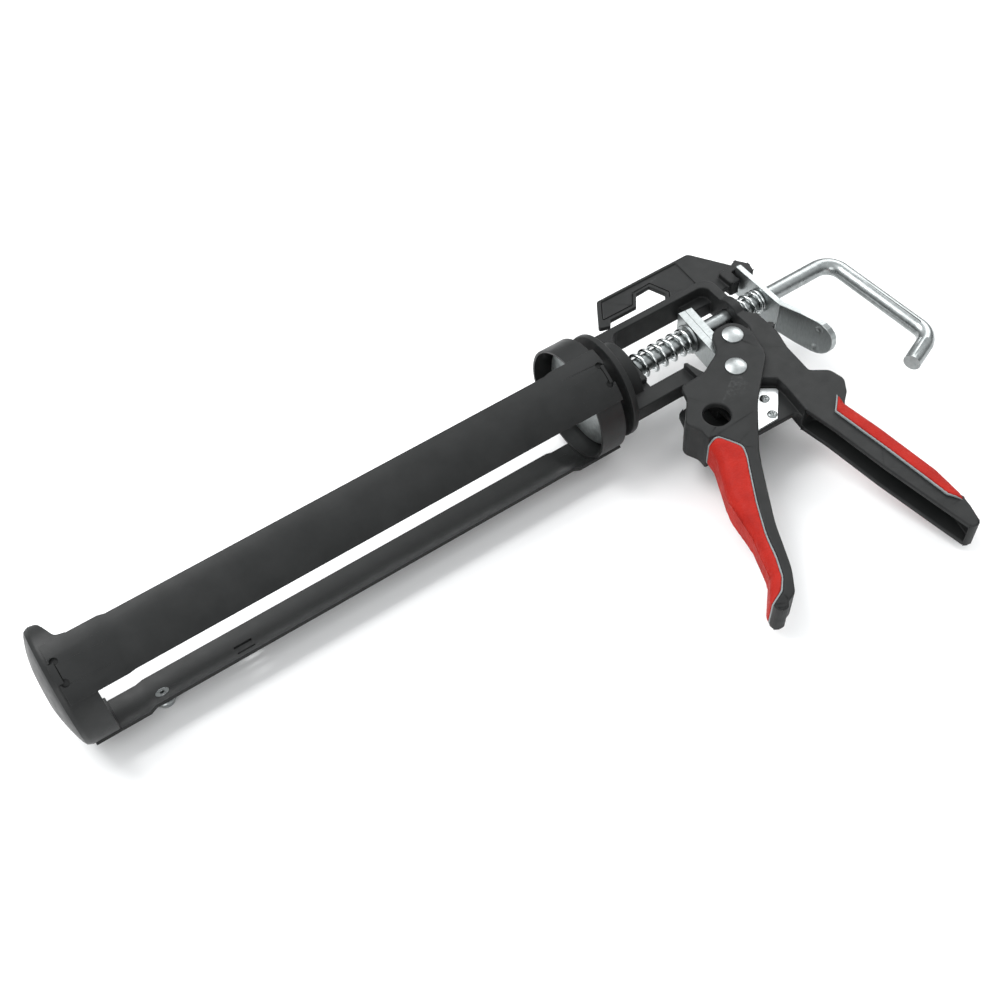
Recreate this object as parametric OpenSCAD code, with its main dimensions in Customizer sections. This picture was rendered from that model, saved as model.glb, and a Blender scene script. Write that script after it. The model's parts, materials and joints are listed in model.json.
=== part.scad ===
// Rotating-barrel caulking gun for 310 ml cartridges.
// The gun is drawn upright: +X to the rear, +Y to its right, +Z up, with X measured along the
// barrel axis from the face of the body. place() then lays it on its right side, the way it
// rests on a bench, and moves the origin into the seat that the cartridge's nose fits in.

/* [Barrel] */
// Outer radius of the rear cup and of the front cap
cup_r = 26.5; // [25:0.1:30]
// Thickness of the sheet steel of the cup, the cap and the rails
sheet = 1.2; // [1:0.1:1.6]
// Distance from the body to the outside of the nose plate
barrel_len = 262; // [200:1:320]
// Depth of the rear cup, from its front rim to the back of its wall
cup_depth = 12.3; // [10:0.1:20]
// Gap between the body flange and the back of the cup
cup_gap = 5.9; // [3:0.1:8]
// Angle that each rail spans around the barrel
rail_span = 54; // [44:0.5:60]
// Height of the dome of the nose plate
nose_dome = 4; // [1:0.1:6]

/* [Push rod] */
// Radius of the push rod
rod_r = 4; // [3:0.1:5]
// Radius of the plunger disc
plunger_r = 22.6; // [20:0.1:24]
// Distance from the body face to the bend of the pull handle
rod_tail = 134; // [120:1:150]
// Length of the pull handle's long leg
pull_leg = 65; // [40:1:80]

/* [Body] */
// Thickness of the body casting
body_t = 14; // [12:0.5:18]
// Thickness of the lower bar of the body
bar_t = 8; // [6:0.5:12]
// Thickness of the ladder hook's plate
hook_t = 2.4; // [2:0.2:6]
// Radius of the hub boss
hub_r = 16.2; // [14:0.1:20]
// Radius of the flange behind the barrel
flange_r = 24.5; // [22:0.1:26]

/* [Trigger] */
// Width of the trigger across its two cheeks
cheek_w = 20.6; // [20:0.1:24]
// Width of the trigger's grip
grip_w = 16; // [14:0.5:18]
// Radius of the hole that a nozzle is cut in
nozzle_hole_r = 6; // [4:0.1:7]

/* [Pose] */
// Roll of the gun, so that the cap and both handles touch the bench
roll = 7.5; // [0:0.1:12]

/* [Hidden] */
$fn = 48;
eps = 0.01;
through = 60;

// Running clearance of a pin in a hole, and the play between parts that slide past each other
run_gap = 0.05;
play = 0.3;

// Middle of the cartridge seat in the front cap
seat_x = 11 - barrel_len;

// Barrel
cup_bore_r = cup_r - sheet;
cup_front_x = -cup_gap - cup_depth;
cap_rim_x = seat_x + 5.4;
dome_edge_r = cup_r - 2.6;
dome_edge_x = -barrel_len + 2.2;
dome_r = (dome_edge_r * dome_edge_r + nose_dome * nose_dome) / (2 * nose_dome);
rail_out_r = cup_r + run_gap;
rail_in_r = cup_bore_r + 0.1;
rail_front_x = seat_x - 5.2;
rail_rear_x = -5;
joggle_len = 3;
joggle_front_x = seat_x + 18;
joggle_rear_x = cup_front_x - 8.8;
nose_slot_w = 23;
nose_slot_z = -9;
tab_hole_r = 1.6;
front_notch_x = rail_front_x + 2.2;
rear_notch_x = rail_rear_x - 2.6;
notch_half = 9.4;
left_mid = 243;
right_mid = 117;

// Seal-piercing pin, folded along the outside of the right rail
pin_x = seat_x + 25.6;
pin_angle = 118.5;
pin_r = 29;
pin_wire_r = 1.1;
pin_eye_r = 3.3;
pin_len = 92;
rivet_r = 1.5;
rivet_end_r = 2.9;
pin_clip_x = pin_x + 36.9;

// Swivel of the barrel
bush_r = 11;
bush_bore_r = rod_r + run_gap;
bush_neck_r = 8;
disc_r = 23;
disc_x = -10.5;
hub_len = 12;

// Push rod and plunger
plunger_x = seat_x - 7.4;
rod_front_x = plunger_x - 2.5;
plunger_depth = 6;
thread_r = 3;
shoulder_x = plunger_x + 4;
pull_tip = 22;
pull_tip_angle = 22;
pull_lean = 4;
bend_r = 9;

// Grip plates: two plates that lean on the rod
grip_x = 50.2;
grip_t = 3.55;
grip_gap = 0.1;
grip_lean = 5;
grip_w_y = 13;
grip_top = 10.7;
grip_bottom = -20;
grip_hole_r = rod_r + 0.45;
washer_x = 48.2;

// Trigger pivot and drive pin
pivot = [49, -32];
drive = [59.8, -16.7];
pivot_r = 2.5;
drive_r = 2.4;
roller_r = 3.3;
rivet_head_r = 4.8;
rivet_head_h = 1.7;

// Release lever
lever_x = 90.2;
lever_t = 2.8;
lever_top_z = 18;
lever_pivot = [lever_x + lever_t / 2, lever_top_z - lever_t / 2];
lever_w = 16;
lever_hole_r = rod_r + 0.7;
lever_bend_z = -14;
tab_lean = 16;
tab_w = 19;
tab_end = 41;
dimple_y = 5.8;

// Springs
spring_wire_r = 0.8;
spring_mid_r = 5.5;
drive_spring_turns = 8;
release_wire_r = 0.65;
release_mid_r = 5.3;
release_turns = 4.5;

// Nozzle cutter
nozzle_hole = [25.2, -48.3];
web_t = 3;
blade_t = 1;
cutter_screw_at = [[52, -48.8], [49, -57.4]];
cutter_screw_r = 1.3;
cutter_head_r = 2.2;

// Handle
pad_w = 17;
channel_w = 9.4;
handle_screw_at = [76.3, -134.6];
handle_screw_turn = 93;
handle_screw_r = 1.5;
handle_screw_head_r = 3.1;
lever_lip_t = 8;

// ---------------------------------------------------------------- helpers

// Lays the upright gun on its right side, with the origin in the front cap's seat
module place() {
  translate([-seat_x, 0, 0]) rotate([roll - 90, 0, 0]) children();
}

// Extrudes an outline drawn in X and Z to a thickness across the gun
module slab(width, y = 0) {
  translate([0, y + width / 2, 0])
    rotate([90, 0, 0])
      linear_extrude(width) children();
}

// Turns a profile drawn as [radius, distance along X] about the barrel axis
module turned() {
  rotate([0, 90, 0]) rotate([0, 0, 180]) rotate_extrude($fn = 96) children();
}

// A round bar along X, Y
module bar_x(r, x0, x1) {
  translate([x0, 0, 0]) rotate([0, 90, 0]) cylinder(r = r, h = x1 - x0);
}
module bar_y(r, y0, y1, at) {
  translate([at.x, y0, at.y]) rotate([-90, 0, 0]) cylinder(r = r, h = y1 - y0);
}

function unit(v) = v / norm(v);

// Points of the arc that rounds the corner at p between its neighbours a and b
function corner_arc(a, p, b, r, n = 5) =
  let (
    u = unit(a - p),
    v = unit(b - p),
    half = acos(u * v) / 2,
    c = p + unit(u + v) * r / sin(half),
    s = p + u * r / tan(half) - c,
    e = p + v * r / tan(half) - c,
    a0 = atan2(s.y, s.x),
    sweep = (atan2(e.y, e.x) - a0 + 540) % 360 - 180
  )
  [for (i = [0 : n]) c + r * [cos(a0 + sweep * i / n), sin(a0 + sweep * i / n)]];

// Outline through corners [x, z, radius]
function rounded(pts) =
  let (n = len(pts))
  [for (i = [0 : n - 1])
    let (
      p = [pts[i].x, pts[i].y],
      a = [pts[(i + n - 1) % n].x, pts[(i + n - 1) % n].y],
      b = [pts[(i + 1) % n].x, pts[(i + 1) % n].y]
    )
    each pts[i][2] > 0 ? corner_arc(a, p, b, pts[i][2]) : [p]];

// Rings of points along a coil about X: closed ends are ground flat by closer pitch
function coil_x(t, turns, length, wire) =
  let (dead = 1 / turns)
  t < dead ? wire + 2 * wire * t / dead * 0.9
  : t > 1 - dead ? length - wire - 2 * wire * (1 - t) / dead * 0.9
  : 2.8 * wire + (length - 5.6 * wire) * (t - dead) / (1 - 2 * dead);

// A coil spring about X from x0, as one closed wire
module coil(x0, length, mid_r, wire, turns, steps = 14, sides = 8) {
  n = floor(turns * steps);
  rings = [for (i = [0 : n])
    let (t = i / n, a = 360 * turns * t, x = x0 + coil_x(t, turns, length, wire))
    [for (k = [0 : sides - 1])
      let (b = 360 * k / sides, r = mid_r + wire * cos(b))
      [x + wire * sin(b), r * cos(a), r * sin(a)]]];
  points = [for (ring = rings) each ring];
  skin = [for (i = [0 : n - 1], k = [0 : sides - 1])
    let (k2 = (k + 1) % sides)
    [i * sides + k, i * sides + k2, (i + 1) * sides + k2, (i + 1) * sides + k]];
  caps = [[for (k = [sides - 1 : -1 : 0]) k], [for (k = [0 : sides - 1]) n * sides + k]];
  polyhedron(points, concat(skin, caps), convexity = 10);
}

// ---------------------------------------------------------------- body

// Side view of the casting: hub bars, rear wall, neck, tang and handle
body_outline = rounded([
  [0, 20.8, 0], [76.2, 20.8, 6], [76.2, -6.5, 2], [79.8, -10.6, 2], [79.8, -24, 6],
  [77, -34, 12], [75.6, -49.8, 2], [83, -55, 5], [84.6, -62.4, 4.5], [80.6, -68.4, 3],
  [73.8, -74, 6], [76.2, -92, 60], [79.2, -122, 40], [79, -134.6, 3], [80, -136.6, 2],
  [79, -142, 5], [76.2, -150.8, 2.6], [71.6, -150.2, 2.6], [69.6, -138, 8], [65, -108, 40],
  [61.8, -80, 30], [58.6, -61.8, 2], [36, -61, 1], [33.4, -58, 2], [33.6, -42, 6],
  [31, -23, 5], [0, -23, 0]
]);

window_outline = rounded([
  [16, -15, 0], [35.4, -15, 2.5], [38, -24.5, 2], [64.5, -24.5, 4], [71.6, -15, 5],
  [71.6, 17.2, 4], [17, 17.2, 5]
]);

hook_outline = rounded([
  [19.4, 28, 1], [29, 42.8, 1.5], [82.2, 42.8, 3], [95, 23.4, 0.6], [93.4, 20, 0], [89, 20, 0],
  [89, 14, 0], [74, 14, 0], [74, 19, 0], [53.6, 19, 0],
  [53.6, 22, 0.5], [57.6, 28.2, 0.5], [54.4, 36, 0.5], [46.6, 35.6, 0.5], [41.8, 29.2, 0.5],
  [27.2, 29.2, 0.5], [24.8, 26.2, 0.5]
]);

// Sunk panel in both sides of the hook
hook_panel_outline = rounded([
  [24.2, 31.4, 0.5], [30.4, 41, 0.5], [73.8, 41, 0.5], [73, 21.6, 0.5], [56, 21.6, 0.5],
  [60, 28, 0.5], [56, 37.8, 0.5], [45.8, 37.4, 0.5], [41, 31.2, 0.5]
]);

// The lip over and behind the top of the release lever
lever_lip_outline = rounded([
  [84.4, 12.4, 2], [84, 22, 1], [91.4, 22.4, 0.5], [95.8, 24.4, 1.2], [99.8, 18.6, 1.5],
  [98.4, 13.4, 1], [93.6, 13.4, 0.6], [93.6, 19, 0.6], [89.4, 19, 0.6], [89.4, 12.4, 1]
]);

// Block in the window's upper rear corner
corner_block_outline = [[57, 18], [57, 13.6], [60.4, 11.4], [73, 11.4], [73, 18]];

// Strip beside the lower bar, which is thinner than the rest of the casting
bar_side_outline = [[-1, -12.5], [34, -12.5], [34, -37], [-1, -37]];

web_cut_outline = [
  [30, -40.5], [54.4, -40.5], [61.4, -45.5], [61.2, -52], [59.4, -66], [30, -66]
];

channel_outline = rounded([
  [50, -65.5, 0], [66, -65.5, 3], [71.6, -72, 6], [74.2, -92, 60], [77.2, -122, 40],
  [77.4, -138, 4], [75, -148.8, 2], [66, -148.8, 0], [50, -100, 0]
]);

// Handle rear: where the soft pad sits, as far forward as d
function pad_seat(d) = [
  [88, -66], [77 - d, -67 + d * 0.3], [68.8 - d, -74.6 + d * 0.2], [72.2 - d, -102],
  [75.4 - d, -133], [78.4, -138.2 - d * 0.6], [88, -138.2 - d * 0.6]
];

module body_frame() color("#3a3b3b") place()
  difference() {
    union() {
      difference() {
        slab(body_t) polygon(body_outline);
        slab(body_t + eps) polygon(window_outline);
        for (side = [-1, 1]) {
          slab(body_t, side * (bar_t + body_t) / 2) polygon(bar_side_outline);
        }
      }
      slab(hook_t) polygon(hook_outline);
      slab(lever_lip_t) polygon(lever_lip_outline);
      bar_x(hub_r, 0, hub_len);
      bar_x(flange_r, 0, 3);
      bar_x(9, 71.6, 76.2);
      slab(8, 3) polygon(corner_block_outline);
      bar_y(2.2, -body_t / 2, body_t / 2, [79.4, -19.5]);
    }
    bar_x(bush_r, -eps, 7);
    bar_x(rod_r + run_gap, -eps, 78);
    // Seat of the drive spring
    bar_x(spring_mid_r + spring_wire_r + 0.5, hub_len, 25);
    // Thinner web behind the trigger, for the blade
    for (side = [-1, 1]) {
      slab(body_t, side * (web_t + body_t) / 2) polygon(web_cut_outline);
    }
    // Handle channel, open to the trigger
    slab(channel_w) polygon(channel_outline);
    bar_y(pivot_r, -through, through, pivot);
    for (at = cutter_screw_at) bar_y(cutter_screw_r, -through, through, at);
    for (side = [-1, 1]) {
      slab(body_t, side * (hook_t + body_t - 0.8) / 2) polygon(hook_panel_outline);
    }
    translate([handle_screw_at.x, 0, handle_screw_at.y])
      rotate([0, handle_screw_turn, 0]) {
        cylinder(r = handle_screw_r, h = 5);
        translate([0, 0, -3]) cylinder(r = handle_screw_head_r + 0.1, h = 3);
      }
  }

module handle_pad_shape(width, d) {
  intersection() {
    slab(width) polygon(rounded([
      [50, -60, 0], [78.2, -64, 3], [75.8, -73.5, 8], [78.5, -92, 60], [81.6, -122, 40],
      [80.8, -137.6, 3], [78, -146, 0], [50, -146, 0]
    ]));
    slab(width) polygon(pad_seat(d));
  }
}

module handle_pad() color("#c8392b") place()
  difference() {
    handle_pad_shape(pad_w, 0);
    slab(body_t) polygon(body_outline);
  }

module handle_pad_border() color("#7d8486") place()
  difference() {
    handle_pad_shape(pad_w - 0.8, 0.8);
    slab(body_t) polygon(body_outline);
    slab(pad_w + 2) polygon(pad_seat(0));
  }

module handle_screw() color("#c9cccc") place()
  translate([handle_screw_at.x, 0, handle_screw_at.y]) rotate([0, handle_screw_turn, 0]) {
    difference() {
      translate([0, 0, -1.8]) cylinder(r = handle_screw_head_r, h = 1.8);
      translate([0, 0, -2]) cylinder(r = 1.2, h = 1.4, $fn = 6);
    }
    translate([0, 0, -0.2]) cylinder(r = handle_screw_r, h = 2.4);
  }

module swivel_bush() color("#8c8f8f") place()
  difference() {
    union() {
      bar_x(bush_r, disc_x + sheet, 7);
      bar_x(bush_neck_r, disc_x - 0.4, disc_x + 2);
      bar_x(bush_neck_r + 1.2, disc_x - 1, disc_x);
      bar_x(14, -cup_gap + run_gap, 0);
    }
    bar_x(bush_bore_r, -20, 20);
  }

module retainer_disc() color("#8c8f8f") place()
  difference() {
    bar_x(disc_r, disc_x, disc_x + sheet);
    bar_x(bush_neck_r, -12, 0);
  }

module friction_washer() color("#4c4c48") place()
  difference() {
    bar_x(15, disc_x + sheet, -cup_gap - sheet - run_gap);
    bar_x(bush_r, -12, 0);
  }

// ---------------------------------------------------------------- barrel

module barrel_cup() color("#333434") place()
  difference() {
    union() {
      bar_x(cup_r, cup_front_x, -cup_gap);
      for (a = [left_mid, right_mid]) {
        sector(cup_r - 1, rail_out_r + sheet, rear_notch_x + 0.3, -cup_gap, a, notch_half - 0.6);
      }
    }
    bar_x(cup_bore_r, cup_front_x - eps, -cup_gap - sheet);
    bar_x(bush_r + run_gap, -20, 0);
  }

// One rail, from angle a0 measured from the top towards the gun's right
module rail(a0) {
  rotate([0, -90, 0]) rotate([0, 0, a0]) rotate_extrude(angle = rail_span, $fn = 96)
    polygon([
      [rail_out_r, -rail_rear_x], [rail_out_r + sheet, -rail_rear_x],
      [rail_out_r + sheet, -joggle_rear_x], [rail_in_r + sheet, -joggle_rear_x + joggle_len],
      [rail_in_r + sheet, -joggle_front_x - joggle_len], [rail_out_r + sheet, -joggle_front_x],
      [rail_out_r + sheet, -rail_front_x], [rail_out_r, -rail_front_x],
      [rail_out_r, -joggle_front_x], [rail_in_r, -joggle_front_x - joggle_len],
      [rail_in_r, -joggle_rear_x + joggle_len], [rail_out_r, -joggle_rear_x]
    ]);
}

// A radial hole in a rail, at x and at angle a from the top towards the right
module radial_hole(x, a, r) {
  translate([x, 0, 0]) rotate([-a, 0, 0]) translate([0, 0, 20]) cylinder(r = r, h = 12);
}

// A notch in the end of a rail, x0 to x1, with a relief hole at each inner corner at x
module end_notch(x, x0, x1, a, half) {
  for (s = [-1, 1]) radial_hole(x, a + s * half, tab_hole_r);
  sector(24, 30, x0, x1, a, half);
}

// Part of a ring between two radii, from x0 to x1, a +/- half around from the top
module sector(r0, r1, x0, x1, a, half) {
  rotate([0, -90, 0]) rotate([0, 0, a - half]) rotate_extrude(angle = 2 * half, $fn = 96)
    translate([r0, -x1]) square([r1 - r0, x1 - x0]);
}

module left_rail() color("#2f3030") place()
  difference() {
    rail(270 - rail_span);
    end_notch(front_notch_x, rail_front_x - 1, front_notch_x, left_mid, notch_half);
    end_notch(rear_notch_x, rear_notch_x, rail_rear_x + 1, left_mid, notch_half);
  }

module right_rail() color("#2f3030") place()
  difference() {
    rail(90);
    end_notch(front_notch_x, rail_front_x - 1, front_notch_x, right_mid, notch_half);
    end_notch(rear_notch_x, rear_notch_x, rail_rear_x + 1, right_mid, notch_half);
    radial_hole(pin_x, pin_angle, rivet_r + run_gap);
    // Two lanced slots, whose strip is the clip for the pin's tip
    for (a = [113.5, 126.5]) {
      translate([pin_clip_x, 0, 0]) rotate([-a, 0, 0]) translate([-4, -0.8, 20])
        cube([8, 1.6, 12]);
    }
  }

module front_cap() color("#333434") place() {
  for (a = [left_mid, right_mid]) {
    sector(cup_r - 1, rail_out_r + sheet, rail_front_x - 0.8, front_notch_x - 0.3, a,
      notch_half - 0.6);
  }
  difference() {
    turned() polygon(concat(
      [for (i = [0 : 8]) dome_point(i / 8, 0)],
      [[cup_r - 0.9, dome_edge_x + 0.9], [cup_r, dome_edge_x + 3], [cup_r, cap_rim_x],
        [cup_bore_r, cap_rim_x], [cup_bore_r, dome_edge_x + 3.6]],
      [for (i = [8 : -1 : 0]) dome_point(i / 8, sheet)]
    ));
    nose_slot();
    slab(through) polygon(ear_cut_outline);
  }
}

// A point of the domed nose plate, t from its middle to its edge, d inside the outer face
function dome_point(t, d) =
  let (r = t * (dome_edge_r - d / 2))
  [r, dome_edge_x - nose_dome + dome_r - sqrt(dome_r * dome_r - r * r) + d];

// The cap is open above a rounded ear on each side
ear_cut_outline = rounded([
  [-barrel_len - 9, 11, 0], [-barrel_len + 1, 11, 3], [seat_x - 6.5, 15, 3], [seat_x - 2.4, 13.6, 4],
  [seat_x + 1.4, 2.2, 3], [cap_rim_x + 2, 0.6, 0], [cap_rim_x + 2, 40, 0], [-barrel_len - 9, 40, 0]
]);

// U slot for the nozzle, open at the top
module nose_slot() {
  translate([-barrel_len - 9, 0, nose_slot_z + nose_slot_w / 2])
    rotate([0, 90, 0]) cylinder(r = nose_slot_w / 2, h = 30);
  translate([-barrel_len - 9, -nose_slot_w / 2, nose_slot_z + nose_slot_w / 2])
    cube([30, nose_slot_w, 40]);
}

module pierce_pin() color("#c9cccc") place()
  on_right_rail(pin_x, pin_r) {
    rotate_extrude() translate([pin_eye_r, 0]) circle(r = pin_wire_r, $fn = 24);
    translate([pin_eye_r, 0, 0]) rotate([0, 90, 0])
      cylinder(r = pin_wire_r, h = pin_len, $fn = 24);
    translate([pin_eye_r + pin_len, 0, 0]) rotate([0, 90, 0])
      cylinder(r1 = pin_wire_r, r2 = 0.3, h = 8, $fn = 24);
  }

// A place on the right rail's mid-line, at x and at a radius, with Z pointing outwards
module on_right_rail(x, r) {
  rotate([-pin_angle, 0, 0]) translate([x, 0, r]) children();
}

// Rivet with its head outside, over the pin's eye, and its rolled end inside the rail
module pierce_pin_rivet() color("#c9cccc") place()
  intersection() {
    on_right_rail(pin_x, 0)
      difference() {
        union() {
          translate([0, 0, cup_bore_r - 0.2]) cylinder(r = rivet_r, h = pin_r - cup_bore_r + 2);
          translate([0, 0, cup_bore_r - 0.2]) cylinder(r = rivet_end_r, h = 0.3);
          translate([0, 0, pin_r + pin_wire_r + 0.1]) cylinder(r1 = 3.6, r2 = 2.8, h = 1.2);
        }
        translate([0, 0, 20]) cylinder(r = rivet_r - 0.5, h = 7);
      }
    union() {
      bar_x(rail_in_r, pin_x - 5, pin_x + 5);
      on_right_rail(pin_x, 20) cylinder(r = rivet_r, h = 20);
      on_right_rail(pin_x, pin_r) cylinder(r = 5, h = 10);
    }
  }

// Sleeve that the pin's eye turns on
module pierce_pin_sleeve() color("#c9cccc") place()
  difference() {
    on_right_rail(pin_x, rail_in_r) cylinder(r = pin_eye_r - pin_wire_r - 0.1, h = 4.8);
    on_right_rail(pin_x, 20) cylinder(r = rivet_r, h = 20);
    bar_x(rail_in_r + sheet, pin_x - 5, pin_x + 5);
  }

// ---------------------------------------------------------------- rod

module plunger_disc() color("#b9bdbd") place()
  difference() {
    turned() polygon([
      [0, plunger_x], [plunger_r - 2, plunger_x], [plunger_r, plunger_x + 2],
      [plunger_r, plunger_x + plunger_depth], [plunger_r - sheet, plunger_x + plunger_depth],
      [plunger_r - sheet, plunger_x + 2.5], [plunger_r - 2.5, plunger_x + sheet],
      [0, plunger_x + sheet]
    ]);
    bar_x(thread_r + run_gap, plunger_x - 1, plunger_x + 8);
  }

module plunger_washer() color("#c9cccc") place()
  difference() {
    bar_x(9, plunger_x + sheet + 0.05, shoulder_x - 0.05);
    bar_x(thread_r + run_gap, plunger_x, plunger_x + 8);
  }

module plunger_nut() color("#c9cccc") place()
  difference() {
    translate([plunger_x - 3, 0, 0]) rotate([0, 90, 0]) cylinder(r = 5.8, h = 2.95, $fn = 6);
    bar_x(thread_r + run_gap, plunger_x - 5, plunger_x + 8);
  }

// Turns the rod downwards by an angle, and draws what follows at the end of the bend
module bent(angle) {
  translate([0, 0, -bend_r]) {
    rotate([90, 0, 0]) rotate([0, 0, 90 - angle])
      rotate_extrude(angle = angle, $fn = 96) translate([bend_r, 0]) circle(r = rod_r);
    rotate([0, angle, 0]) translate([0, 0, bend_r]) children();
  }
}

// The pull handle goes down, then forward and down. Its straight legs are a hair slimmer
// than the bends and start inside them.
module push_rod() color("#c9cccc") place() {
  long_leg = pull_leg - 2 * bend_r;
  leg_r = rod_r - 0.03;
  root = 0.3;
  bar_x(thread_r, rod_front_x, shoulder_x);
  bar_x(rod_r, shoulder_x, rod_tail - bend_r);
  bar_x(leg_r, 60, rod_tail - bend_r + root);
  translate([rod_tail - bend_r, 0, 0])
    bent(90 - pull_lean) union() {
      bar_x(leg_r, -root, long_leg + root);
      translate([long_leg, 0, 0])
        bent(90 + pull_lean - pull_tip_angle) bar_x(leg_r, -root, pull_tip - bend_r);
    }
}

// ---------------------------------------------------------------- grip and release

module grip_plate(index) {
  difference() {
    translate([grip_x, 0, 0]) rotate([0, grip_lean, 0])
      translate([index * (grip_t + grip_gap), -grip_w_y / 2, grip_bottom])
        cube([grip_t, grip_w_y, grip_top - grip_bottom]);
    bar_x(grip_hole_r, grip_x - 5, grip_x + 20);
  }
}

module grip_plate_front() color("#c9cccc") place() grip_plate(0);

module grip_plate_rear() color("#b9bdbd") place() grip_plate(1);

module spring_washer() color("#b9bdbd") place()
  difference() {
    bar_x(7, washer_x, washer_x + 1.2);
    bar_x(rod_r + 0.3, 40, 60);
  }

module drive_spring() color("#c9cccc") place()
  coil(hub_len + 0.05, washer_x - hub_len - 0.1, spring_mid_r, spring_wire_r,
    drive_spring_turns);

module release_spring() color("#c9cccc") place()
  coil(76.25, lever_x - 76.3, release_mid_r, release_wire_r, release_turns);

module release_lever() color("#b9bdbd") place()
  difference() {
    union() {
      // Upper plate, square to the rod, with the round edge that it turns on
      intersection() {
        union() {
          translate([lever_x, -15, lever_bend_z])
            cube([lever_t, 30, lever_pivot.y - lever_bend_z]);
          bar_y(lever_t / 2, -15, 15, lever_pivot);
        }
        rotate([0, 90, 0]) linear_extrude(120) lever_face();
      }
      // Thumb tab, bent to the rear
      intersection() {
        translate([lever_x, 0, lever_bend_z]) rotate([0, -tab_lean, 0])
          translate([0, -15, -40]) cube([lever_t, 30, 40.3]);
        rotate([0, 90, 0]) linear_extrude(120) lever_face();
      }
    }
    bar_x(lever_hole_r, 60, 120);
    // Two dimples in the tab
    translate([lever_x, 0, lever_bend_z]) rotate([0, -tab_lean, 0])
      for (y = [-dimple_y, dimple_y]) {
        translate([-2.3, y, -20.6]) sphere(r = 3, $fn = 32);
      }
  }

// Front view of the lever, with its own X down the gun
module lever_face() polygon(rounded([
  [-lever_top_z, -lever_w / 2, 1], [10, -lever_w / 2, 12], [24, -tab_w / 2, 12],
  [tab_end, -tab_w / 2, 9], [tab_end, tab_w / 2, 9], [24, tab_w / 2, 12],
  [10, lever_w / 2, 12], [-lever_top_z, lever_w / 2, 1]
]));

// ---------------------------------------------------------------- trigger

trigger_outline = rounded([
  [22.6, -27, 3], [36, -26.2, 8], [48.5, -20, 8], [53, -9.4, 7], [66, -9.2, 7],
  [68.4, -20, 9], [64.8, -34, 12], [44, -52.5, 60], [27.5, -73.3, 40], [9.8, -104.1, 80],
  [1, -124, 40], [-5.4, -133.4, 5], [-9.8, -134.8, 3], [-11.5, -137, 2], [-16.4, -136.7, 3],
  [-15.6, -130.4, 3.4], [-7, -121, 12], [-0.8, -104, 40], [2.6, -84.4, 40], [13.4, -62.6, 18],
  [14.6, -51.5, 6], [11.2, -44.6, 4], [16.2, -38.8, 6], [20.4, -34, 6]
]);

trigger_hollow_outline = rounded([
  [12, -35, 0], [12, -2, 0], [75, -2, 0], [75, -60, 0], [40, -70, 0], [30, -90, 0],
  [12, -122, 0], [5.6, -122, 2], [5, -106, 20], [8.6, -88, 20], [17.6, -68, 14],
  [18.6, -51, 4], [16.4, -45, 2], [21, -39.6, 3], [22.4, -35, 0]
]);

// Rear limit of the soft pad on the trigger's sides, moved back by d
function trigger_pad_line(d) = rounded([
  [-40, -57, 0], [8, -58.8 + d, 0], [12.6, -57.2 + d, 3], [18, -57.4 + d, 4],
  [23.6 + d, -67 + d * 0.3, 4], [21.6 + d, -72, 8], [9.8 + d, -92.1, 60], [2.4 + d, -106.6, 60],
  [-1 + d, -116.5, 40], [-5 + d, -125, 12], [-9.4 + d * 0.6, -129.5 - d * 0.8, 4],
  [-17, -132.4 - d, 6], [-40, -134, 0]
]);

trigger_core_outline = rounded([
  [30, -54, 0], [30, -80, 0], [4, -126, 0], [-4, -130, 0], [-5, -121, 8], [1.4, -104, 40],
  [5, -84.4, 40], [15.6, -63, 14], [16.6, -54, 0]
]);

// A point of the smooth taper from the cheeks to the grip, t from its top to its foot
function taper_point(t, side, extra) =
  let (grip = grip_w / 2 + extra)
  [side * (grip + (cheek_w / 2 - grip) * (1 + cos(180 * t)) / 2), -50 - 34 * t];

// Limits the trigger to its width: wide cheeks above, a slimmer grip below
module trigger_width(extra = 0) {
  rotate([0, 90, 0]) rotate([0, 0, 90]) translate([0, 0, -60])
    linear_extrude(180) polygon([
      each [for (i = [0 : 6]) taper_point(i / 6, -1, extra)],
      [-grip_w / 2 - extra, -128], [-grip_w / 2 + 1, -150], [grip_w / 2 - 1, -150],
      [grip_w / 2 + extra, -128],
      each [for (i = [6 : -1 : 0]) taper_point(i / 6, 1, extra)],
      [cheek_w / 2, 0], [-cheek_w / 2, 0]
    ]);
}

module trigger() color("#3a3b3b") place()
  difference() {
    union() {
      intersection() {
        difference() {
          slab(cheek_w) polygon(trigger_outline);
          slab(cheek_w + 2) polygon(trigger_pad_line(0.8));
        }
        trigger_width();
      }
      slab(grip_w - 2.4) intersection() {
        polygon(trigger_outline);
        polygon(trigger_core_outline);
      }
    }
    slab(body_t + 2 * play) intersection() {
      polygon(trigger_hollow_outline);
      translate([-50, -76]) square([150, 90]);
    }
    slab(grip_w - 6) polygon(trigger_hollow_outline);
    bar_y(pivot_r + run_gap, -through, through, pivot);
    bar_y(drive_r, -through, through, drive);
    bar_y(nozzle_hole_r, -through, through, nozzle_hole);
  }

module trigger_pad() color("#c8392b") place()
  difference() {
    intersection() {
      slab(cheek_w) polygon(trigger_outline);
      slab(cheek_w) polygon(trigger_pad_line(0));
      trigger_width(0.3);
    }
    slab(grip_w - 2.4) polygon(trigger_core_outline);
  }

module trigger_pad_border() color("#7d8486") place()
  difference() {
    intersection() {
      slab(cheek_w) polygon(trigger_outline);
      slab(cheek_w) polygon(trigger_pad_line(0.8));
      trigger_width(-0.1);
    }
    slab(cheek_w + 2) polygon(trigger_pad_line(0));
    slab(grip_w - 2.4) polygon(trigger_core_outline);
  }

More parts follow.
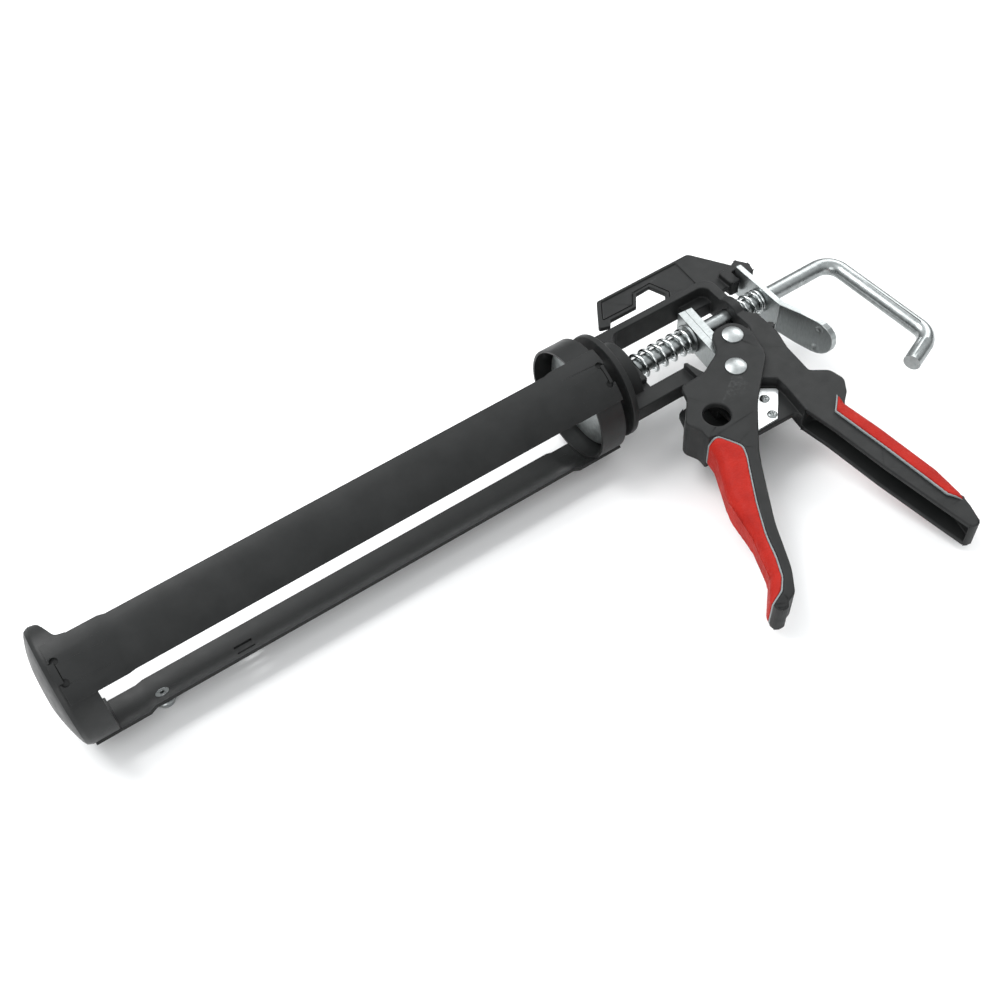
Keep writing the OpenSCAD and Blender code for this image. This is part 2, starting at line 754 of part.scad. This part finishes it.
// A domed rivet across the trigger
module rivet(at, r) {
  half = cheek_w / 2 + run_gap;
  bar_y(r, -half - 0.5, half + 0.5, at);
  for (side = [-1, 1]) {
    translate([at.x, side * half, at.y]) rotate([-90 * side, 0, 0])
      intersection() {
        cylinder(r = rivet_head_r, h = rivet_head_h);
        translate([0, 0, rivet_head_h - 7.6]) sphere(r = 7.6, $fn = 48);
      }
  }
}

module trigger_pivot_rivet() color("#c9cccc") place() rivet(pivot, pivot_r);

module drive_pin() color("#c9cccc") place() rivet(drive, drive_r);

module drive_roller() color("#8c8f8f") place()
  difference() {
    bar_y(roller_r, -6.6, 6.6, drive);
    bar_y(drive_r + run_gap, -10, 10, drive);
  }

// ---------------------------------------------------------------- nozzle cutter

module cutter_blade() color("#e4e6e6") place()
  difference() {
    slab(blade_t, -(web_t + blade_t) / 2) polygon([
      [36, -43], [54.4, -43], [60, -47.2], [60, -48.6], [49.4, -60.4], [36, -60.4]
    ]);
    for (at = cutter_screw_at) bar_y(cutter_screw_r + 0.1, -through, through, at);
  }

module cutter_screws() color("#c9cccc") place()
  for (at = cutter_screw_at) {
    bar_y(cutter_screw_r, -(web_t / 2 + blade_t), web_t / 2, at);
    translate([at.x, -(web_t / 2 + blade_t), at.y]) rotate([90, 0, 0])
      cylinder(r1 = cutter_head_r, r2 = cutter_head_r - 0.5, h = 0.9);
  }

body_frame();
swivel_bush();
retainer_disc();
friction_washer();
barrel_cup();
left_rail();
right_rail();
front_cap();
pierce_pin();
pierce_pin_rivet();
pierce_pin_sleeve();
plunger_disc();
plunger_washer();
plunger_nut();
push_rod();
grip_plate_front();
grip_plate_rear();
spring_washer();
drive_spring();
release_spring();
release_lever();
trigger();
trigger_pad();
trigger_pad_border();
drive_pin();
drive_roller();
trigger_pivot_rivet();
cutter_blade();
cutter_screws();
handle_pad();
handle_pad_border();
handle_screw();
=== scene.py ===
"""Looks of the caulking gun: materials, soft grips, springs and studio around its CAD model."""
import json
import math

import bmesh
import bpy
from mathutils import Matrix, Vector


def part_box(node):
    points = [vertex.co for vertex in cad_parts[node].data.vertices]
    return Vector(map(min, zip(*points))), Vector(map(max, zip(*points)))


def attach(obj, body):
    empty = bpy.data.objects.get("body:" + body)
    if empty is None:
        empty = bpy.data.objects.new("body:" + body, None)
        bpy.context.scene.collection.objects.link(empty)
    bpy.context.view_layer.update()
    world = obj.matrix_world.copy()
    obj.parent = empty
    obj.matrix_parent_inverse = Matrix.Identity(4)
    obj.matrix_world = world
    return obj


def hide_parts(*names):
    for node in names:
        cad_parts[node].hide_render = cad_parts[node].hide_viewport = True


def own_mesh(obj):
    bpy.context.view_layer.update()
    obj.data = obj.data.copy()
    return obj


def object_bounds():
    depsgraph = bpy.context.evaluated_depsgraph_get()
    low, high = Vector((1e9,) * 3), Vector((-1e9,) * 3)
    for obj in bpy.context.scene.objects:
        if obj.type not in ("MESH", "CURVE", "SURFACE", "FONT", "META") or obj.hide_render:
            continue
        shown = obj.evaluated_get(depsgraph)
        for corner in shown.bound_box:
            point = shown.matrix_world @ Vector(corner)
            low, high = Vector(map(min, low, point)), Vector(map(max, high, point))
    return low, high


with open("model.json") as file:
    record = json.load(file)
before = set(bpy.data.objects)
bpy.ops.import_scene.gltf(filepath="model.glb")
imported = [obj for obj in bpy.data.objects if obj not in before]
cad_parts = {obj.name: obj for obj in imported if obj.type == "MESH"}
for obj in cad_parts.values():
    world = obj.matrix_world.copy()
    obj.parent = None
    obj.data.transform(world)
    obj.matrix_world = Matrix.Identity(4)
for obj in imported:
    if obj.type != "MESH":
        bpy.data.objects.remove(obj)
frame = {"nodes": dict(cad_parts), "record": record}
NODES = frame["nodes"]
cad_low, cad_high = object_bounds()
MM = 0.001

WELD_M = 1e-6

# The gun is drawn upright in its own design frame, with X to the rear from the body's face,
# and lies rolled on its right side. The row's frame starts at the cartridge's front seat.
ROLL = math.radians(7.5 - 90)
SEAT_X = -251.0


def design(x, y, z):
    """The row frame's point (m) at design coordinates (mm)."""
    cos_a, sin_a = math.cos(ROLL), math.sin(ROLL)
    return Vector(((x - SEAT_X) * MM, (y * cos_a - z * sin_a) * MM, (y * sin_a + z * cos_a) * MM))


def to_design(p):
    """The design coordinates (mm) of a point in the row frame."""
    cos_a, sin_a = math.cos(ROLL), math.sin(ROLL)
    y, z = p.y / MM, p.z / MM
    return Vector((p.x / MM + SEAT_X, y * cos_a + z * sin_a, -y * sin_a + z * cos_a))


# ---------------------------------------------------------------- materials

class Shader:
    """A Principled material, with short helpers for the nodes that vary it."""

    def __init__(self, name, color, metallic=0.0, roughness=0.5, **sockets):
        self.material = bpy.data.materials.new(name)
        self.material.use_nodes = True
        self.tree = self.material.node_tree
        self.bsdf = self.tree.nodes["Principled BSDF"]
        self.bsdf.inputs["Base Color"].default_value = (*color, 1)
        self.bsdf.inputs["Metallic"].default_value = metallic
        self.bsdf.inputs["Roughness"].default_value = roughness
        for socket, value in sockets.items():
            self.bsdf.inputs[socket.replace("_", " ")].default_value = value
        self.coords = self.tree.nodes.new("ShaderNodeTexCoord")
        self.normal = None

    def link(self, source, target):
        self.tree.links.new(source, target)

    def node(self, kind, **values):
        new = self.tree.nodes.new(kind)
        for key, value in values.items():
            setattr(new, key, value)
        return new

    def stretched(self, scale=(1, 1, 1)):
        """Object coordinates, multiplied by a scale."""
        mapping = self.node("ShaderNodeMapping")
        mapping.inputs["Scale"].default_value = scale
        self.link(self.coords.outputs["Object"], mapping.inputs["Vector"])
        return mapping.outputs["Vector"]

    def noise(self, size_mm, detail=3.0, rough=0.55, scale=(1, 1, 1)):
        tex = self.node("ShaderNodeTexNoise")
        tex.inputs["Scale"].default_value = 1.0 / (size_mm * MM)
        tex.inputs["Detail"].default_value = detail
        tex.inputs["Roughness"].default_value = rough
        self.link(self.stretched(scale), tex.inputs["Vector"])
        return tex.outputs["Fac"]

    def cells(self, size_mm):
        """Distance from the middle of the nearest cell."""
        tex = self.node("ShaderNodeTexVoronoi")
        tex.inputs["Scale"].default_value = 1.0 / (size_mm * MM)
        self.link(self.stretched(), tex.inputs["Vector"])
        return tex.outputs["Distance"]

    def ramp(self, fac, low, high, color_low, color_high):
        """A colour between two, as fac goes from low to high."""
        ramp = self.node("ShaderNodeValToRGB")
        ramp.color_ramp.elements[0].position = low
        ramp.color_ramp.elements[1].position = high
        ramp.color_ramp.elements[0].color = (*color_low, 1)
        ramp.color_ramp.elements[1].color = (*color_high, 1)
        self.link(fac, ramp.inputs["Fac"])
        return ramp.outputs["Color"]

    def spread(self, fac, low, high, out_low, out_high):
        """A value between two, as fac goes from low to high."""
        ranged = self.node("ShaderNodeMapRange")
        ranged.inputs["From Min"].default_value = low
        ranged.inputs["From Max"].default_value = high
        ranged.inputs["To Min"].default_value = out_low
        ranged.inputs["To Max"].default_value = out_high
        self.link(fac, ranged.inputs["Value"])
        return ranged.outputs["Result"]

    def mix(self, fac, a, b):
        mix = self.node("ShaderNodeMix", data_type="RGBA")
        self.link(fac, mix.inputs["Factor"])
        self.link(a, mix.inputs["A"])
        self.link(b, mix.inputs["B"])
        return mix.outputs["Result"]

    def bump(self, height, strength, distance_mm):
        """Adds a relief to the ones already there."""
        bump = self.node("ShaderNodeBump")
        bump.inputs["Strength"].default_value = strength
        bump.inputs["Distance"].default_value = distance_mm * MM
        self.link(height, bump.inputs["Height"])
        if self.normal:
            self.link(self.normal, bump.inputs["Normal"])
        self.normal = bump.outputs["Normal"]
        self.link(self.normal, self.bsdf.inputs["Normal"])

    def edges(self):
        """1 on convex edges and 0 elsewhere."""
        geometry = self.node("ShaderNodeNewGeometry")
        return self.spread(geometry.outputs["Pointiness"], 0.57, 0.68, 0.0, 1.0)


def painted(name, dark, light, edge, roughness, grain_mm):
    """Black powder coat: fine orange peel, faint cloudiness and lighter rubbed edges."""
    s = Shader(name, dark, roughness=roughness[0], Specular_IOR_Level=0.2)
    clouds = s.noise(14, detail=4)
    s.link(s.spread(s.noise(5, detail=6), 0.3, 0.7, *roughness), s.bsdf.inputs["Roughness"])
    body = s.ramp(clouds, 0.3, 0.7, dark, light)
    rubbed = s.ramp(s.noise(1.6), 0.42, 0.72, light, edge)
    s.link(s.mix(s.edges(), body, rubbed), s.bsdf.inputs["Base Color"])
    s.bump(s.noise(grain_mm, detail=2), 0.32, 0.05)
    s.bump(s.noise(grain_mm * 5, detail=2), 0.10, 0.12)
    return s.material


def plated(name, dark, light, roughness, streak=(1, 1, 1), speckle=0.12):
    """Zinc plate: bright metal with faint streaks, cloudy polish and pinprick specks."""
    s = Shader(name, light, metallic=1.0, roughness=roughness[0])
    s.link(s.ramp(s.noise(2.2, detail=6, scale=streak), 0.28, 0.72, dark, light),
           s.bsdf.inputs["Base Color"])
    s.link(s.spread(s.noise(3.2, detail=5, scale=streak), 0.3, 0.72, *roughness),
           s.bsdf.inputs["Roughness"])
    s.bump(s.noise(0.5, detail=3, scale=streak), speckle, 0.04)
    return s.material


def soft_grip():
    """Red moulded rubber with a fine pebbled face and a dusty, faded bloom."""
    s = Shader("red_grip", (0.34, 0.013, 0.008), roughness=0.6, Specular_IOR_Level=0.14)
    s.link(s.ramp(s.noise(9, detail=5), 0.3, 0.72, (0.29, 0.011, 0.007), (0.38, 0.017, 0.010)),
           s.bsdf.inputs["Base Color"])
    s.link(s.spread(s.noise(2.5), 0.3, 0.7, 0.52, 0.7), s.bsdf.inputs["Roughness"])
    s.bump(s.cells(0.95), 0.7, 0.2)
    s.bump(s.noise(0.3), 0.15, 0.05)
    return s.material


def moulded_trim():
    """Mid-grey plastic edge of the grips."""
    s = Shader("grey_trim", (0.19, 0.215, 0.22), roughness=0.5)
    s.link(s.ramp(s.noise(3), 0.3, 0.7, (0.17, 0.19, 0.195), (0.22, 0.245, 0.25)),
           s.bsdf.inputs["Base Color"])
    s.bump(s.noise(0.3), 0.2, 0.03)
    return s.material


def dark_plastic():
    """Matt friction washer."""
    s = Shader("dark_plastic", (0.06, 0.06, 0.056), roughness=0.6)
    s.link(s.ramp(s.noise(2), 0.3, 0.7, (0.045, 0.045, 0.042), (0.08, 0.08, 0.075)),
           s.bsdf.inputs["Base Color"])
    s.bump(s.noise(0.4), 0.2, 0.04)
    return s.material


MATERIALS = {
    "black_casting": painted("black_casting", (0.0115, 0.0122, 0.0122), (0.0165, 0.0172, 0.0172),
                             (0.05, 0.052, 0.052), (0.42, 0.56), 0.28),
    "black_sheet": painted("black_sheet", (0.0135, 0.0142, 0.0142), (0.0195, 0.0202, 0.0202),
                           (0.09, 0.094, 0.094), (0.34, 0.46), 0.24),
    "zinc": plated("zinc", (0.235, 0.25, 0.25), (0.34, 0.36, 0.36), (0.24, 0.36), speckle=0.06),
    "rivet_zinc": plated("rivet_zinc", (0.34, 0.36, 0.36), (0.45, 0.47, 0.47), (0.36, 0.46),
                         speckle=0.02),
    "bright_steel": plated("bright_steel", (0.30, 0.32, 0.32), (0.41, 0.435, 0.435), (0.28, 0.42),
                           streak=(1, 5, 1)),
    "spring_steel": plated("spring_steel", (0.46, 0.485, 0.485), (0.66, 0.69, 0.69), (0.14, 0.24)),
    "grey_steel": plated("grey_steel", (0.24, 0.26, 0.26), (0.36, 0.38, 0.38), (0.34, 0.48)),
    "dark_zinc": plated("dark_zinc", (0.24, 0.25, 0.25), (0.38, 0.40, 0.40), (0.30, 0.44)),
    "blade_steel": plated("blade_steel", (0.66, 0.68, 0.68), (0.78, 0.80, 0.80), (0.34, 0.5),
                          streak=(6, 1, 1), speckle=0.06),
    "red_grip": soft_grip(),
    "grey_trim": moulded_trim(),
    "dark_plastic": dark_plastic(),
}

# ---------------------------------------------------------------- carried-over CAD nodes

# Width of the edge radius (mm) of each node that has cast, blanked or turned edges
EDGE_MM = {
    "body_frame": 0.6, "trigger": 0.8, "front_cap": 0.15, "barrel_cup": 0.15, "left_rail": 0.15,
    "right_rail": 0.15, "release_lever": 0.3, "grip_plate_front": 0.3, "grip_plate_rear": 0.3,
    "spring_washer": 0.15, "retainer_disc": 0.15, "swivel_bush": 0.25, "cutter_blade": 0.1,
    "plunger_disc": 0.2, "plunger_washer": 0.2, "plunger_nut": 0.25, "drive_roller": 0.2,
    "friction_washer": 0.15, "handle_screw": 0.15, "pierce_pin_rivet": 0.15,
}
SLOT_OF = {s["node"]: s["material_slot"] for s in frame["record"]["subparts"]}


def dress(node):
    """Gives a CAD node its material, merged vertices and soft edges."""
    obj = NODES[node]
    for slot in obj.material_slots:
        slot.link = "OBJECT"
        slot.material = MATERIALS[SLOT_OF[node]]
    weld = obj.modifiers.new("weld", "WELD")
    weld.merge_threshold = WELD_M
    if node in EDGE_MM:
        bevel = obj.modifiers.new("edges", "BEVEL")
        bevel.width = EDGE_MM[node] * MM
        bevel.segments = 3
        bevel.limit_method = "ANGLE"
        bevel.angle_limit = math.radians(35)
        bevel.use_clamp_overlap = False
        bevel.harden_normals = False
        smooth = obj.modifiers.new("normals", "WEIGHTED_NORMAL")
        smooth.keep_sharp = True
        smooth.weight = 80


for node in NODES:
    dress(node)

# ---------------------------------------------------------------- new pieces


def new_object(name, mesh, body, material, *replaced):
    """Puts a finished mesh in the scene as a smooth-shaded piece that rides on a body."""
    for polygon in mesh.polygons:
        polygon.use_smooth = True
    obj = bpy.data.objects.new(name, mesh)
    bpy.context.scene.collection.objects.link(obj)
    obj.data.materials.append(MATERIALS[material])
    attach(obj, body)
    if replaced:
        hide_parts(*replaced)
    return obj


# Springs -------------------------------------------------------

STEPS_PER_TURN = 48
WIRE_SIDES = 14


def coil_path(length, turns, wire_r):
    """(x, angle) along a compression spring whose end turns are closed."""
    path = []
    closed = 1.0 / turns
    count = int(turns * STEPS_PER_TURN)
    for i in range(count + 1):
        t = i / count
        if t < closed:
            x = wire_r + 2 * wire_r * t / closed
        elif t > 1 - closed:
            x = length - wire_r - 2 * wire_r * (1 - t) / closed
        else:
            free = (t - closed) / (1 - 2 * closed)
            x = 3 * wire_r + (length - 6 * wire_r) * free
        path.append((x, 2 * math.pi * turns * t))
    # Ease the pitch into the closed turns
    for _ in range(6):
        xs = [p[0] for p in path]
        for i in range(2, count - 1):
            path[i] = ((xs[i - 2] + xs[i - 1] + xs[i] + xs[i + 1] + xs[i + 2]) / 5, path[i][1])
    return path


def coil_mesh(name, x0, length, mid_r, wire_r, turns):
    """A tube swept along a coil about the X axis, all in metres."""
    mesh = bpy.data.meshes.new(name)
    bm = bmesh.new()
    rings = []
    for x, angle in coil_path(length, turns, wire_r):
        centre = Vector((x0 + x, mid_r * math.cos(angle), mid_r * math.sin(angle)))
        outward = Vector((0, math.cos(angle), math.sin(angle)))
        along = Vector((1, 0, 0))
        ring = []
        for k in range(WIRE_SIDES):
            b = 2 * math.pi * k / WIRE_SIDES
            ring.append(bm.verts.new(centre + wire_r * (math.cos(b) * outward + math.sin(b) * along)))
        rings.append(ring)
    for ring, after in zip(rings, rings[1:]):
        for k in range(WIRE_SIDES):
            following = (k + 1) % WIRE_SIDES
            bm.faces.new((ring[k], ring[following], after[following], after[k]))
    bm.faces.new(reversed(rings[0]))
    bm.faces.new(rings[-1])
    bmesh.ops.recalc_face_normals(bm, faces=bm.faces)
    bm.to_mesh(mesh)
    bm.free()
    return mesh


def spring(node, mid_r, wire_r, turns):
    """Replaces a spring node by a smooth coil (sizes in mm)."""
    low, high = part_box(node)
    length = high.x - low.x
    mesh = coil_mesh(node + "_coil", low.x, length, mid_r * MM, wire_r * MM, turns)
    obj = new_object(node + "_coil", mesh, "frame", "spring_steel", node)
    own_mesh(obj)


spring("drive_spring", 5.5, 0.8, 8)
spring("release_spring", 5.3, 0.65, 4.5)

# Rivets and screws ---------------------------------------------

HEAD_RINGS = 40
HEAD_SEGMENTS = 96
SHANK_SEGMENTS = 48
RIM_SHARE = 0.22
HEAD_FOOT = -0.25


def across(axis):
    """Two directions square to an axis and to each other."""
    side = axis.cross(Vector((0.31, 0.17, 0.93))).normalized()
    return side, axis.cross(side)


def dome(r, radius, height):
    """Height of a domed head at a distance r from its middle, with a short upright rim."""
    rim = RIM_SHARE * height
    bulge = (radius ** 2 + (height - rim) ** 2) / (2 * (height - rim))
    return rim + math.sqrt(bulge ** 2 - r ** 2) - (bulge - (height - rim))


def cross_depth(x, y, arm, width, depth):
    """Depth at a point of a cross recess whose arms taper to their ends."""
    far, near = max(abs(x), abs(y)), min(abs(x), abs(y))
    if far > arm or near > width / 2:
        return 0.0
    return depth * min(1.0, 2.2 * (1 - far / arm)) * min(1.0, 4 * (1 - 2 * near / width))


def add_head(bm, at, axis, radius, height, recess=None, dish=0.0):
    """A round head on a surface at a design point, facing along a design axis."""
    axis = Vector(axis).normalized()
    side, over = across(axis)

    def vertex(r, angle, h):
        x, y = r * math.cos(angle), r * math.sin(angle)
        p = Vector(at) + side * x + over * y + axis * h
        return bm.verts.new(design(*p))

    def top(r, angle):
        x, y = r * math.cos(angle), r * math.sin(angle)
        h = dome(r, radius, height) - dish * max(0.0, 1 - (r / (0.55 * radius)) ** 2)
        return h - cross_depth(x, y, *recess) if recess else h

    angles = [2 * math.pi * k / HEAD_SEGMENTS for k in range(HEAD_SEGMENTS)]
    loops = []
    for i in range(HEAD_RINGS - 1):
        r = radius * (i + 1) / HEAD_RINGS
        loops.append([vertex(r, angle, top(r, angle)) for angle in angles])
    # The rim's rounded corner, its side and its foot, which sits a little inside the surface
    rim = [(radius * 0.985, RIM_SHARE * height + 0.02), (radius, 0.15 * height), (radius, HEAD_FOOT)]
    for r, h in rim:
        loops.append([vertex(r, angle, h) for angle in angles])
    middle = vertex(0, 0, top(0, 0))
    for k in range(HEAD_SEGMENTS):
        bm.faces.new((middle, loops[0][k], loops[0][(k + 1) % HEAD_SEGMENTS]))
    for inner, outer in zip(loops, loops[1:]):
        for k in range(HEAD_SEGMENTS):
            after = (k + 1) % HEAD_SEGMENTS
            bm.faces.new((inner[k], outer[k], outer[after], inner[after]))
    bm.faces.new(list(reversed(loops[-1])))


def add_shank(bm, start, end, radius):
    """A plain cylinder between two design points."""
    start, end = Vector(start), Vector(end)
    side, over = across((end - start).normalized())
    loops = []
    for centre in (start, end):
        loop = []
        for k in range(SHANK_SEGMENTS):
            angle = 2 * math.pi * k / SHANK_SEGMENTS
            outward = math.cos(angle) * side + math.sin(angle) * over
            loop.append(bm.verts.new(design(*(centre + radius * outward))))
        loops.append(loop)
    for k in range(SHANK_SEGMENTS):
        after = (k + 1) % SHANK_SEGMENTS
        bm.faces.new((loops[0][k], loops[0][after], loops[1][after], loops[1][k]))
    bm.faces.new(list(reversed(loops[0])))
    bm.faces.new(loops[1])


def fastener(name, body, material, node, heads, shanks):
    """One piece made of round heads and shanks, in place of a CAD node."""
    mesh = bpy.data.meshes.new(name)
    bm = bmesh.new()
    for head in heads:
        add_head(bm, *head)
    for shank in shanks:
        add_shank(bm, *shank)
    bmesh.ops.recalc_face_normals(bm, faces=bm.faces)
    bm.to_mesh(mesh)
    bm.free()
    return new_object(name, mesh, body, material, node)


# The two rivets across the trigger's cheeks
CHEEK = 10.35
RIVET_HEAD = (4.8, 1.7)
for rivet, node, body, (x, z), shank_r in (
        ("pivot_rivet", "trigger_pivot_rivet", "frame", (49, -32), 2.5),
        ("drive_rivet", "drive_pin", "trigger", (59.8, -16.7), 2.4)):
    near, far = (x, -CHEEK, z), (x, CHEEK, z)
    fastener(rivet, body, "rivet_zinc", node,
             [(near, (0, -1, 0), *RIVET_HEAD), (far, (0, 1, 0), *RIVET_HEAD)],
             [(near, far, shank_r)])

# The two screws of the nozzle cutter's blade
BLADE_FACE = -2.5
BLADE_SCREW_END = 1.5
BLADE_SCREWS_AT = ((52, -48.8), (49, -57.4))
BLADE_SCREW_CROSS = (1.35, 0.62, 0.6)
fastener("blade_screws", "frame", "zinc", "cutter_screws",
         [((x, BLADE_FACE, z), (0, -1, 0), 2.2, 0.9, BLADE_SCREW_CROSS)
          for x, z in BLADE_SCREWS_AT],
         [((x, BLADE_FACE, z), (x, BLADE_SCREW_END, z), 1.3) for x, z in BLADE_SCREWS_AT])

# The screw at the foot of the handle's channel, which holds the soft pad
PAD_SCREW_TILT = math.radians(93)
PAD_SCREW_AXIS = Vector((-math.sin(PAD_SCREW_TILT), 0, -math.cos(PAD_SCREW_TILT)))
PAD_SCREW_SEAT = Vector((76.3, 0, -134.6))
PAD_SCREW_CROSS = (1.9, 0.8, 1.0)
fastener("pad_screw", "frame", "zinc", "handle_screw",
         [(PAD_SCREW_SEAT, PAD_SCREW_AXIS, 3.1, 1.8, PAD_SCREW_CROSS)],
         [(PAD_SCREW_SEAT, PAD_SCREW_SEAT - PAD_SCREW_AXIS * 2.2, 1.5)])

# Soft grips ----------------------------------------------------

def remeshed(node, voxel_mm, smooth_steps):
    """A copy of a CAD node's mesh with even small faces and softened edges."""
    mesh = NODES[node].data.copy()
    obj = bpy.data.objects.new(node + "_soft", mesh)
    bpy.context.scene.collection.objects.link(obj)
    weld = obj.modifiers.new("weld", "WELD")
    weld.merge_threshold = WELD_M
    remesh = obj.modifiers.new("remesh", "REMESH")
    remesh.mode = "VOXEL"
    remesh.voxel_size = voxel_mm * MM
    smooth = obj.modifiers.new("smooth", "SMOOTH")
    smooth.factor = 0.5
    smooth.iterations = smooth_steps
    bpy.context.view_layer.update()
    evaluated = obj.evaluated_get(bpy.context.evaluated_depsgraph_get())
    result = bpy.data.meshes.new_from_object(evaluated)
    bpy.data.objects.remove(obj)
    bpy.data.meshes.remove(mesh)
    result.materials.clear()
    return result


def depth_from(line, x, z):
    """Distance in the design's X-Z plane from a point to a polyline."""
    best = 1e9
    for (ax, az), (bx, bz) in zip(line, line[1:]):
        dx, dz = bx - ax, bz - az
        t = max(0.0, min(1.0, ((x - ax) * dx + (z - az) * dz) / (dx * dx + dz * dz)))
        best = min(best, math.hypot(x - ax - t * dx, z - az - t * dz))
    return best


def crown(mesh, line, half_width, radius):
    """Rounds a slab's two long edges towards the face that runs along the line."""
    for vertex in mesh.vertices:
        p = to_design(vertex.co)
        depth = depth_from(line, p.x, p.z)
        if depth < radius:
            side = half_width - radius + math.sqrt(radius ** 2 - (radius - depth) ** 2)
            p.y *= side / half_width
            vertex.co = design(p.x, p.y, p.z)


# The faces that the hand meets, as (x, z) lines down the trigger and the handle
TRIGGER_FRONT = [
    (8, -50), (14.4, -54), (12.8, -63), (3.6, -82.5), (-0.4, -103), (-6.8, -120.8), (-17.6, -130.8),
    (-24, -135),
]
HANDLE_REAR = [
    (78.6, -60), (77.6, -66), (75.7, -73), (78.5, -92), (81.5, -121), (80.9, -135), (78, -146),
]


def soft_grip_piece(name, node, body, material, line, half_width, radius, voxel_mm=0.45, steps=8):
    """A soft or trim piece made from a CAD pad, rounded towards the hand."""
    mesh = remeshed(node, voxel_mm, steps)
    crown(mesh, line, half_width, radius)
    return new_object(name, mesh, body, material, node)


soft_grip_piece("trigger_grip", "trigger_pad", "trigger", "red_grip", TRIGGER_FRONT, 8.3, 5.5)
soft_grip_piece("handle_grip", "handle_pad", "frame", "red_grip", HANDLE_REAR, 8.5, 4.5)
soft_grip_piece("trigger_trim", "trigger_pad_border", "trigger", "grey_trim", TRIGGER_FRONT, 8.3,
                5.5, voxel_mm=0.25, steps=2)
soft_grip_piece("handle_trim", "handle_pad_border", "frame", "grey_trim", HANDLE_REAR, 8.5, 4.5,
                voxel_mm=0.25, steps=2)

# ---------------------------------------------------------------- studio

def camera():
    """The photograph's viewing angle, in the row frame."""
    data = bpy.data.cameras.new("camera")
    data.lens = 47.3
    data.sensor_width = 36
    data.clip_start = 0.01
    obj = bpy.data.objects.new("camera", data)
    right = Vector((0.831, -0.5434, -0.1169)).normalized()
    up = Vector((0.469, 0.5733, 0.6716))
    up = (up - right * up.dot(right)).normalized()
    back = right.cross(up)
    turn = Matrix((right, up, back)).transposed().to_4x4()
    obj.matrix_world = Matrix.Translation((0.0173, -0.3608, 0.3968)) @ turn
    bpy.context.scene.collection.objects.link(obj)
    bpy.context.scene.camera = obj


def area_light(name, place, target, size, power):
    """A square soft box that faces a point."""
    data = bpy.data.lights.new(name, "AREA")
    data.shape = "RECTANGLE"
    data.size = size
    data.size_y = size
    data.energy = power
    obj = bpy.data.objects.new(name, data)
    obj.location = place
    obj.rotation_euler = (Vector(target) - Vector(place)).to_track_quat("-Z", "Y").to_euler()
    bpy.context.scene.collection.objects.link(obj)


def pale_floor():
    """A flat white floor under the gun."""
    mesh = bpy.data.meshes.new("floor")
    half, z = 4.0, cad_low.z
    mesh.from_pydata([(-half, -half, z), (half, -half, z), (half, half, z), (-half, half, z)], [],
                     [(0, 1, 2, 3)])
    floor = bpy.data.objects.new("floor", mesh)
    bpy.context.scene.collection.objects.link(floor)
    s = Shader("floor", (0.9, 0.9, 0.9), roughness=0.7)
    s.link(s.ramp(s.noise(400), 0.3, 0.7, (0.89, 0.89, 0.89), (0.91, 0.91, 0.91)),
           s.bsdf.inputs["Base Color"])
    mesh.materials.append(s.material)


def surroundings():
    """A sky that brightens upwards, so that metal has something to reflect."""
    world = bpy.data.worlds.new("studio")
    world.use_nodes = True
    tree = world.node_tree
    sky = tree.nodes["Background"]
    sky.inputs["Color"].default_value = (0.95, 0.97, 0.98, 1)
    coords = tree.nodes.new("ShaderNodeTexCoord")
    split = tree.nodes.new("ShaderNodeSeparateXYZ")
    rise = tree.nodes.new("ShaderNodeMapRange")
    rise.interpolation_type = "SMOOTHSTEP"
    for socket, value in (("From Min", 0.0), ("From Max", 0.85), ("To Min", 0.2), ("To Max", 1.2)):
        rise.inputs[socket].default_value = value
    tree.links.new(coords.outputs["Generated"], split.inputs["Vector"])
    tree.links.new(split.outputs["Z"], rise.inputs["Value"])
    tree.links.new(rise.outputs["Result"], sky.inputs["Strength"])
    bpy.context.scene.world = world


camera()
pale_floor()
surroundings()
centre = (cad_low + cad_high) / 2
area_light("key", (-0.1, 0.5, 0.9), centre, 0.7, 9.0)
area_light("front", (-0.5, -0.7, 0.35), centre, 0.6, 4.0)
area_light("rear", (0.9, 0.2, 0.5), centre, 0.5, 3.0)
bpy.context.scene.view_settings.view_transform = "Standard"
